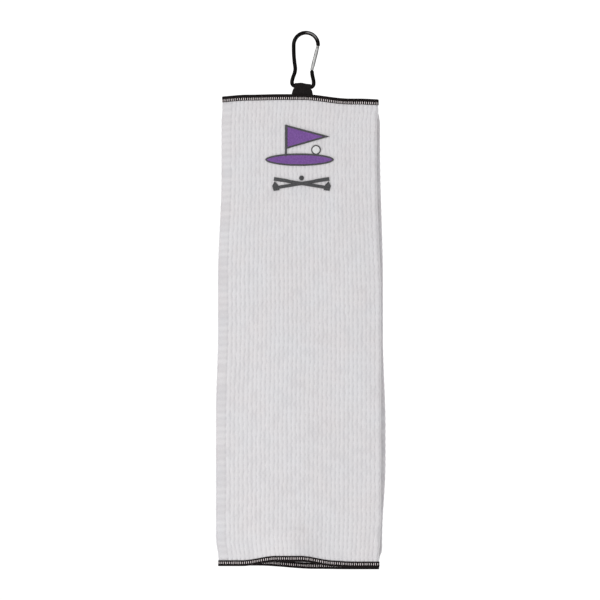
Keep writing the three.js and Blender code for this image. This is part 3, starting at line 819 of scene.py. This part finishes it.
def weave_height(u, v, ribbed):
    """0 in the weave's deepest corner and 1 on a rib. Ribs are broad with narrow grooves between
    them, and lower bars cross the grooves once a row."""
    rib = np.abs(np.sin(PI * u)) ** RIB_ROUNDNESS * ribbed
    bar = 0.5 + 0.5 * np.cos(2 * PI * v)
    bar_height = BAR_HEIGHT * bar * ribbed + (0.40 + 0.36 * bar) * (1 - ribbed)
    height = rib + (1 - rib) * bar_height
    return height * (1 - RIB_DIP * bar * rib) + PUFF * from_lattice(puff, u, v) * height


def column_set(part, first=0, last=None):
    """Shares, rib coordinates and ribbed weights of the columns of one part, from rib first to last."""
    ribs = RIBS[part]
    last = ribs if last is None else last
    steps = 8 if "fold" in part else RIB_STEPS
    local = np.arange(first * steps, last * steps + 1) / steps
    return [(part, u / ribs, FIRST_RIB[part] + u, 1.0, 0.0) for u in local]


def edge_columns(part):
    """Columns of an unribbed strip, with how far each is from the free edge."""
    front = part == "front_edge"
    columns = []
    for d in (0.0, 0.1, 0.35, 0.8, 1.3, 1.8, 2.3, 3.0, 4.2, 5.6, 7.0, 8.4, 9.4, 10.1, EDGE):
        share, rib = (d / EDGE, 0.0) if front else (1 - d / EDGE, float(LINES - 1))
        columns.append((part, share, rib, float(smoothstep(d, 8.8, EDGE)), d))
    return columns if front else columns[::-1]


def cloth_grid(columns):
    """The outside and inside points of a run of columns, and each point's relief."""
    v = np.arange(ROWS * ROW_STEPS + 1) / ROW_STEPS
    outside, inside, relief = [], [], []
    for part, share, u, ribbed, edge_distance in columns:
        layer = layer_name(part)
        nominal = TOP - CLOTH_INSET + (v / ROWS) * (BOTTOM_LEFT - TOP + 2 * CLOTH_INSET - 2)
        down = down_share(nominal)
        near_hem = smoothstep(nominal, TOP - 22, TOP - 10)
        near_hem = near_hem + smoothstep(nominal, BOTTOM_LEFT + 22, BOTTOM_LEFT + 10)
        x, y, facing_x, facing_y = across_fold(part, share, down, CLOTH_CENTRE_INSET + 0.6 * near_hem, FLAT)
        if "edge" in part:
            scallop = 0.34 * (0.5 - 0.5 * np.cos(2 * PI * v)) * math.exp(-edge_distance / 1.4)
            x = x + (scallop if part == "front_edge" else -scallop)
        else:
            x = x + WANDER * from_lattice(slant, np.full_like(v, u), 2 * v) * np.abs(facing_y)
        line = bottom_of(layer)
        high, low = top_line(x) - CLOTH_INSET, line(x) + CLOTH_INSET
        z = high + (low - high) * v / ROWS
        if layer != "middle" and "fold" not in part:
            y = y + drape(layer, x, z)
        height = weave_height(np.full_like(v, u), v, ribbed)
        half = BASE_HALF + RELIEF * height
        if "edge" in part:
            roll = 0.0
            if edge_distance < 2 * ROLL_RADIUS:
                roll = 0.85 * math.sqrt(max(0.03, 1 - (1 - edge_distance / ROLL_RADIUS) ** 2))
            half = half * float(smoothstep(edge_distance, 0.0, 0.8))
            half = np.maximum(half, roll * (0.86 + 0.14 * np.cos(2 * PI * v)))
        hidden = np.minimum(v * ROW_PITCH, (ROWS - v) * ROW_PITCH) < SLOT_DEPTH + 0.4
        half = np.where(hidden, np.minimum(half, 0.8), half)
        outside.append(np.stack([x + facing_x * half, y + facing_y * half, z], -1))
        inside.append(np.stack([x - facing_x * half, y - facing_y * half, z], -1))
        relief.append(height)
    return np.array(outside), np.array(inside), np.array(relief)


# A body for each part, or for a fold its two bodies and two points, which nothing here uses: a fold's
# pieces stay unattached.
BODIES = {
    "front": "towel_front",
    "middle": "towel_middle",
    "back": "towel_back",
    "right_fold": ("towel_front", "towel_middle", (0, -2.4 * MM, 0), (0, -1.0 * MM, 0)),
    "left_fold": ("towel_middle", "towel_back", (0, 1.0 * MM, 0), (0, 2.4 * MM, 0)),
}
MIDDLE_SEAM = 17  # the middle panel's rib where its two halves meet
cloth_columns = {
    "front": edge_columns("front_edge")[:-1] + column_set("front"),
    "right_fold": column_set("right_fold")[:-1] + column_set("middle", 0, MIDDLE_SEAM),
    "left_fold": column_set("middle", MIDDLE_SEAM)[:-1] + column_set("left_fold"),
    "back": column_set("back")[:-1] + edge_columns("back_edge"),
}
for part, columns in cloth_columns.items():
    outside, inside, relief = cloth_grid(columns)
    both = np.concatenate([relief.ravel(), relief.ravel()])
    folded = [f"{part}_cloth", "middle_panel_cloth"]
    stands_for = folded if "fold" in part else [f"{part}_panel_cloth"]
    shape = shell(outside, inside)
    name, body = f"waffle_{part}", BODIES[part]
    piece(name, shape, cotton, "waffle_cloth", body, stands_for, relief=both)


# ---- bindings


def hem_section():
    """A binding's section as (across, inward from its outer line) pairs, its slot open to the cloth."""
    half, slot = HEM_HALF_THICKNESS, SLOT_HALF_WIDTH
    floor = HEM_HEIGHT - SLOT_DEPTH
    side = [(0.34, 0.0), (0.70, 0.06), (1.02, 0.24), (1.24, 0.56), (half - 0.05, 1.0)]
    side += [(half, 1.7), (half, 3.1), (half, 4.5), (half - 0.04, 5.4), (half - 0.14, 5.85)]
    side += [(half - 0.30, HEM_HEIGHT), (slot, HEM_HEIGHT - 0.02), (slot, floor + 0.8), (slot, floor)]
    return np.array(side + [(-a, t) for a, t in side[::-1]])


SECTION = hem_section()


def press(part, share):
    """0 where the binding has its full thickness and 1 where a fold presses its inner side."""
    if "fold" in part:
        return np.ones_like(share)
    first, last = 1 - smoothstep(share, 0.0, 0.07), smoothstep(share, 0.93, 1.0)
    return {"front": last, "middle": np.maximum(first, last), "back": first}[part]


def hem_point(part, share, across, inward, top):
    """Row-frame points of a binding's surface: across is signed towards the cloth's outside."""
    down = np.full_like(share, 0.0 if top else 1.0)
    x, y, facing_x, facing_y = across_fold(part, share, down, HEM_CENTRE_INSET)
    inner = across < 0
    if part in ("left_fold", "back"):
        inner = across > 0
    if part == "middle":
        inner = np.where(share < 0.5, across < 0, across > 0)
    thinner = 1 - press(part, share) * (1 - HEM_FOLD_HALF / HEM_HALF_THICKNESS)
    across = across * np.where(inner, thinner, 1.0)
    z = top_line(x) - inward if top else bottom_of(part)(x) + inward
    if part == "front" and not top:
        y = y + drape("front", x, z)
    return np.stack([x + facing_x * across, y + facing_y * across, z], -1)


BINDING_LENGTHS = {"front": 161, "middle": 156, "back": 159, "right_fold": 9, "left_fold": 9}
BINDING_TIP = 1.1  # the length over which a free end is rounded off
BINDING_RIDGE = 0.82  # from one of its fine thread ridges to the next


def binding(part, end):
    """The binding along one part of a hem, as a closed solid. A free end is tucked in and rounded."""
    length = BINDING_LENGTHS[part]
    share = np.linspace(0, 1, 25 if "fold" in part else 430)
    if "fold" not in part:
        ends = np.array([0.12, 0.35, 0.7, 1.1]) / length
        share = np.unique(np.concatenate([share, ends, 1 - ends]))
    ridge = 1 + 0.022 * np.sin(2 * PI * share * (length / BINDING_RIDGE)) + 0.012 * np.sin(share * 171.0)
    taper = np.ones_like(share)
    if part in ("front", "back"):
        from_end = (share if part == "front" else 1 - share) * length
        taper = np.sqrt(np.clip(1 - (1 - np.clip(from_end / BINDING_TIP, 0, 1)) ** 2, 0.05, 1))
    across = SECTION[:, 0] * (ridge * taper)[:, None]
    middle = HEM_HEIGHT / 2
    inward = middle + (SECTION[:, 1] - middle) * (0.82 + 0.18 * taper)[:, None]
    ring = hem_point(part, np.repeat(share[:, None], len(SECTION), 1), across, inward, end == "top")
    shape = through_rings(ring, cap_triangles(SECTION))
    stands_for = [f"{part}_{end}_hem"]
    return piece(f"{end}_binding_{part}", shape, tape, "binding_black", BODIES[part], stands_for, 50)


for end in ("top", "bottom"):
    for part in BODIES:
        binding(part, end)


# ---- overlock stitches

STITCH_PITCH = 2.1
STITCH_HALF_WIDTH = 0.34
STITCH_HALF_HEIGHT = 0.18
STITCH_LENGTHS = {"front": 158, "middle": 156, "back": 158, "right_fold": 9.6, "left_fold": 9.6}
STITCH_SIDES = {"right_fold": (1,), "left_fold": (-1,)}  # a fold's stitches show only outside
STITCH_MIDDLE = {True: 4.35, False: 3.5}  # from the hem's folded edge, for the top and bottom hems
STITCH_PATH = np.array(
    [(1.2, 1.1), (1.38, 1.03), (1.48, 0.85), (1.49, 0.1), (1.49, -0.65), (1.44, -1.0), (1.2, -1.15)]
)


def stitch_row(part, top, side):
    """Short threads over a binding's inner edge, on one face. side is 1 on the cloth's outside."""
    length = STITCH_LENGTHS[part]
    count = int(length / STITCH_PITCH)
    start = (np.arange(count) + 0.5) / count
    start = start + rng.uniform(-0.07, 0.07, count) / count
    lean = rng.normal(0, 0.12, count)
    reach = rng.uniform(0.88, 1.08, count)
    k = len(STITCH_PATH)
    away = STITCH_PATH[None, :, 1] * reach[:, None]
    share = np.clip(start[:, None] + lean[:, None] * away / 3.0 / length, 0.004, 0.996)
    inward = STITCH_MIDDLE[top] + away
    across = side * np.repeat(STITCH_PATH[None, :, 0], count, 0)
    centres = hem_point(part, share, across, inward, top)
    outward = hem_point(part, share, across + side * 0.1, inward, top) - centres
    along = normed(np.gradient(centres, axis=1))
    across_way = normed(np.cross(along, normed(outward)))
    outward = np.cross(across_way, along)
    swell = np.interp(np.arange(k), [0, 1, k - 2, k - 1], [0.55, 1.0, 1.0, 0.55])
    return tubes(centres, across_way, outward, STITCH_HALF_WIDTH * swell, STITCH_HALF_HEIGHT * swell)


for part, body in BODIES.items():
    sides = STITCH_SIDES.get(part, (1, -1))
    rows = [stitch_row(part, top, side) for top in (True, False) for side in sides]
    hems = [] if "fold" in part else [f"{part}_top_hem_thread", f"{part}_bottom_hem_thread"]
    stitches = piece(f"overlock_{part}", joined(rows), stitch_thread, "overlock_thread", body, hems)


# ---- webbing loop

BAR_CENTRE = np.array([-BAR_DROP * math.sin(LEAN), 0, -BOW_DROP - BAR_DROP * math.cos(LEAN)])
WEB_MIDDLE_RADIUS = ROD_RADIUS + 0.3 + 0.5
WEB_RIBS = 10  # on each side of its middle
WEB_TAIL = 11.0  # half the width of its flat ends


def webbing_loop():
    """Webbing folded round the bar, both ends flat together inside the top hem."""
    drop = BAR_CENTRE[2] - float(top_line(BAR_CENTRE[0]))
    radius = WEB_MIDDLE_RADIUS
    tail_y = LAYER_Y["front"]
    front, rear = np.array([tail_y - 0.36, -drop]), np.array([tail_y + 0.36, -drop])

    def tangent(tip, side):
        turn = math.atan2(tip[1], tip[0])
        return turn + side * math.acos(radius / np.linalg.norm(tip))

    start = tangent(rear, 1)
    end = tangent(front, -1)
    while end < start:
        end += 2 * PI
    foot = np.array([0, -2.0])
    angle = np.linspace(start, end, 60)
    turn = np.stack([radius * np.cos(angle), radius * np.sin(angle)], -1)
    path = eased(resampled(np.concatenate([[rear + foot], [rear], turn, [front], [front + foot]]), 150), 10)
    heights = path[:, 1]

    def edge_from_middle(straight, *halves):
        """Half the width on one side by depth below the bar: the same as far as straight."""
        depths = [-4, straight, 1.7, 2.3, 3.1, 4.2, drop, drop + 4]
        return eased(np.interp(-heights, depths, [halves[0], *halves, WEB_TAIL, WEB_TAIL]) - 0.1, 4)

    left_width = edge_from_middle(1.2, 8.75, 8.85, 9.3, 9.9, 10.3)
    right_width = edge_from_middle(1.1, 8.3, 8.4, 8.95, 9.6, 10.1)
    half_thick = np.interp(-heights, [2.5, drop - 0.6, drop + 4], [0.5, 0.35, 0.33])[:, None]
    along = normed(np.gradient(path, axis=0))
    out = np.stack([along[:, 1], -along[:, 0]], -1)
    if np.dot(out[75], path[75]) < 0:
        out = -out
    share = np.linspace(-1, 1, 67)
    steps = np.arange(len(path))[:, None]
    ribs = 0.045 * np.cos(2 * PI * share * WEB_RIBS)
    crossing = 0.05 * np.sin(2 * PI * (steps / 3.1 + np.abs(share * WEB_RIBS) % 1))
    edge = np.clip((1 - np.abs(share)) * WEB_RIBS / 0.5, 0, 1)
    rounded = np.sqrt(1 - (1 - edge) ** 2 * 0.9)
    thick = half_thick * rounded + (ribs + crossing) * (edge > 0.99)
    thick = np.minimum(thick, half_thick + 0.06)
    x = share * np.where(share > 0, right_width[:, None], left_width[:, None])
    x = x + 0.08 * np.sin(steps * 1.3) * np.sign(share) * (np.abs(share) > 0.97)
    crest = 0.75 * np.exp(-(((share + 0.2) / 0.42) ** 2)) * smoothstep(heights, 0.0, 2.6)[:, None]
    faces_of_web = []
    for side in (1, -1):
        y = path[:, None, 0] + side * out[:, None, 0] * thick
        z = path[:, None, 1] + side * out[:, None, 1] * thick + crest
        faces_of_web.append(np.stack([x, y, z], -1))
    points, faces = shell(*faces_of_web)
    return tilted(points, LEAN) + BAR_CENTRE, faces


piece("webbing_tab", webbing_loop(), nylon, "webbing_black", "towel_front", ["webbing_loop"])


# ---- embroidery

CLOTH_FACE = LAYER_Y["front"] - 0.62
PLATE_FACE = -4.62
THREAD_PITCH = 0.46
EMBLEM = np.array([-6.6, -114.2])
CLUBS = np.array([-4.5, -154.0])
BORDER = 1.9


def threads(starts, ends, lift=0.16, width=0.29):
    """Raised threads from starts to ends, (x, z) each, lying on the embroidery's plate."""
    starts, ends = np.asarray(starts, float), np.asarray(ends, float)
    t = np.array([0.0, 0.06, 0.25, 0.5, 0.75, 0.94, 1.0])
    arch = np.array([-0.28, 0.02, 0.8, 1.0, 0.8, 0.02, -0.28])
    flat = starts[:, None] + (ends - starts)[:, None] * t[None, :, None]
    length = np.linalg.norm(ends - starts, axis=1)
    high = np.clip(length / 4, 0.35, 1.0)[:, None] * lift * arch
    centres = np.stack([flat[..., 0], PLATE_FACE - 0.02 - high, flat[..., 1]], -1)
    across = square_to((ends - starts) / length[:, None])[:, None]
    swell = np.array([0.5, 0.9, 1, 1, 1, 0.9, 0.5])
    return tubes(centres, across, (0, -1, 0), width * swell, 0.2 * swell)


def fill(outline, angle, longest=3.6, pitch=THREAD_PITCH):
    """Rows of stitches across an outline in one direction, long rows broken like brickwork."""
    turned = rotated(outline, -angle)
    starts, ends = [], []
    low, high = turned[:, 1].min(), turned[:, 1].max()
    count = max(int((high - low) / pitch), 1)
    for row in range(count):
        level = low + (row + 0.5) * (high - low) / count
        cuts = []
        for a, b in zip(turned, np.roll(turned, -1, 0)):
            if (a[1] - level) * (b[1] - level) < 0:
                cuts.append(a[0] + (b[0] - a[0]) * (level - a[1]) / (b[1] - a[1]))
        cuts.sort()
        for left, right in zip(cuts[::2], cuts[1::2]):
            if right - left < 0.4:
                continue
            breaks = [left]
            if right - left > 1.6 * longest:
                first = left + longest * (0.35 + 0.3 * (row % 3)) + rng.uniform(-0.2, 0.2)
                while first < right - 0.35 * longest:
                    breaks.append(first)
                    first += longest + rng.uniform(-0.15, 0.15)
            breaks.append(right)
            wander = rng.uniform(-0.03, 0.03)
            for a, b in zip(breaks[:-1], breaks[1:]):
                starts.append((a - 0.04, level + wander))
                ends.append((b + 0.04, level + wander))
    return threads(rotated(starts, angle), rotated(ends, angle))


def walked(outline, pitch):
    """Points at even steps round a closed outline, and the way out at each."""
    closed = np.concatenate([outline, outline[:1]])
    length = np.linalg.norm(np.diff(closed, axis=0), axis=1).sum()
    points = resampled(closed, int(length / pitch) + 1)[:-1]
    along = normed(np.roll(points, -1, 0) - np.roll(points, 1, 0))
    return points, np.stack([along[:, 1], -along[:, 0]], -1)


def satin_border(outline, width):
    """Stitches square to an outline, from it inwards, shorter in a corner where two sides meet."""
    outline = outline if runs_left(outline) else outline[::-1]
    points, out = walked(outline, 0.42)
    tries = np.linspace(0.15, width, 12)
    inward = points[:, None] - out[:, None] * tries[None, :, None]
    nearest = np.linalg.norm(inward[:, :, None] - points[None, None], axis=-1).min(-1)
    room = np.where(nearest > 0.8 * tries, tries, 0.15).max(-1)
    wobble = rng.uniform(-0.05, 0.05, len(points))
    starts = points + out * (0.04 + wobble)[:, None]
    ends = points - out * (room + wobble)[:, None]
    return threads(starts, ends, 0.22, 0.27)


def ellipse(centre, x, z, radius_x, radius_z, count=96):
    angle = 2 * PI * np.arange(count) / count
    return centre + np.stack([x + radius_x * np.cos(angle), z + radius_z * np.sin(angle)], -1)


def polygon(centre, corners, mirror=1):
    return centre + np.array(corners, float) * (mirror, 1)


def shrunk(corners, inset):
    """A triangle with its sides moved in by inset."""
    sides = np.linalg.norm(np.roll(corners, -1, 0) - np.roll(corners, -2, 0), axis=1)
    middle = (corners * sides[:, None]).sum(0) / sides.sum()
    (ax, az), (bx, bz) = corners[1] - corners[0], corners[2] - corners[0]
    inradius = abs(ax * bz - az * bx) / sides.sum()
    return middle + (corners - middle) * (inradius - inset) / inradius


def shrunk_box(corners, inset):
    return corners - np.sign(corners - corners.mean(0)) * inset


def backing(outline):
    return prism(outline, PLATE_FACE, CLOTH_FACE)


def clubs():
    """Two crossed clubs, each a shaft, a grip and a head."""
    parts = []
    for mirror in (1, -1):
        slope = math.atan2(8.9, 53.6) * mirror
        for corners, angle in (
            ([(-24, -5.2), (28.4, 3.4), (27.9, 6.6), (-24.6, -2)], slope + PI / 2),
            ([(14, 1.2), (28.8, 3.2), (28, 7), (13.4, 4.6)], slope + PI / 2),
            ([(-22.6, -6.4), (-28.8, -7.2), (-30.2, -2), (-27.8, 2.6), (-24.2, -1)], slope * 2.2),
        ):
            outline = polygon(CLUBS, corners, mirror)
            parts += [backing(outline), fill(outline, angle)]
    return parts


def embroider():
    flag = polygon(EMBLEM, [(-14, 21), (-14, -4), (31, 9)])
    pole = polygon(EMBLEM, [(-15, -12), (-13, -12), (-13, 21), (-15, 21)])
    small = ellipse(CLUBS, 0, 6, 2.5, 2.5, 40)

    def green(inset):
        return ellipse(EMBLEM, 0, -14.9, 35.3 - inset, 6.4 - inset)

    def ball(radius, count=60):
        return ellipse(EMBLEM, 17, -4.8, radius, radius, count)

    pieces = {
        "flag": (
            "purple",
            [backing(shrunk(flag, 0.3)), fill(shrunk(flag, BORDER - 0.1), math.radians(82))],
        ),
        "green": ("purple", [backing(green(0.3)), fill(green(BORDER - 0.1), math.radians(90))]),
        "ball": ("white", [backing(ball(4.7)), fill(ball(3.8, 96), 0.0)]),
        "outline": (
            "grey",
            [
                satin_border(flag, BORDER),
                satin_border(green(0), BORDER),
                satin_border(ball(5), 1.3),
                backing(shrunk_box(pole, 0.2)),
                fill(pole, 0.0),
            ],
        ),
        "clubs": ("grey", clubs()),
        "small_ball": ("grey", [backing(small), fill(small, 0.0)]),
    }
    for name, (tone, parts) in pieces.items():
        shape, thread = joined(parts), embroidery_threads[tone]
        slot = f"embroidery_{tone}"
        piece(f"embroidery_{name}", shape, thread, slot, "towel_front", [f"emblem_{name}"])


embroider()


# ---- floor, lights and camera


DAYLIGHT = 0.955  # the studio's level light, before its sides, rear and ceiling differ


def studio():
    scene = bpy.context.scene
    scene.view_settings.view_transform = "Standard"
    material, tree, shader = new_material("pale_floor", (0.93, 0.93, 0.93), 0.9)
    grey = ramp(tree, noise(tree, object_space(tree), 3, 2), (0, 0.925), (1, 0.94))
    tree.links.new(grey, shader.inputs["Base Color"])
    half, z = 9.0, -1.5
    mesh = bpy.data.meshes.new("floor")
    corners = np.array([(-half, -half, z), (half, -half, z), (half, half, z), (-half, half, z)])
    floor = mesh_object("floor", (corners, [np.arange(4)[None]]), material, unit=1)

    world = bpy.data.worlds.new("studio")
    world.use_nodes = True
    sky = world.node_tree
    way = node(sky, "ShaderNodeSeparateXYZ")
    sky.links.new(node(sky, "ShaderNodeTexCoord").outputs["Generated"], way.inputs["Vector"])
    side = math_node(sky, "ABSOLUTE", way.outputs["X"], 0)
    darker = math_node(sky, "MULTIPLY", side, -0.45)
    rear = math_node(sky, "MULTIPLY", way.outputs["Y"], 0.16)
    above = math_node(sky, "MULTIPLY", way.outputs["Z"], 0.22)
    strength = add(sky, add(sky, add(sky, darker, rear), above), DAYLIGHT)
    sky.links.new(strength, sky.nodes["Background"].inputs["Strength"])
    sky.nodes["Background"].inputs["Color"].default_value = (1, 1, 1, 1)
    scene.world = world

    def softbox(name, place, target, size, watts):
        light = bpy.data.lights.new(name, "AREA")
        light.shape = "RECTANGLE"
        light.size, light.size_y = size
        light.energy = watts
        obj = bpy.data.objects.new(name, light)
        obj.location = place
        obj.rotation_euler = (Vector(target) - Vector(place)).to_track_quat("-Z", "Y").to_euler()
        scene.collection.objects.link(obj)

    middle = (-0.006, 0, -0.27)
    softbox("key_light", (-1.5, -1.3, 0.5), middle, (0.7, 1.2), 8.6)
    softbox("rim_light", (1.3, 0.9, 0.5), middle, (0.7, 1.0), 6)
    softbox("low_light", (-0.95, -0.42, -1.0), (0, 0, -0.02), (0.35, 0.35), 4)


def camera():
    data = bpy.data.cameras.new("camera")
    data.lens = 200
    data.sensor_width = 36
    distance = 0.618 * data.lens / data.sensor_width
    obj = bpy.data.objects.new("camera", data)
    obj.location = (-0.0061, LAYER_Y["front"] * MM - distance, -0.2736)
    obj.rotation_euler = (PI / 2, 0, 0)
    bpy.context.scene.collection.objects.link(obj)
    bpy.context.scene.camera = obj


studio()
camera()
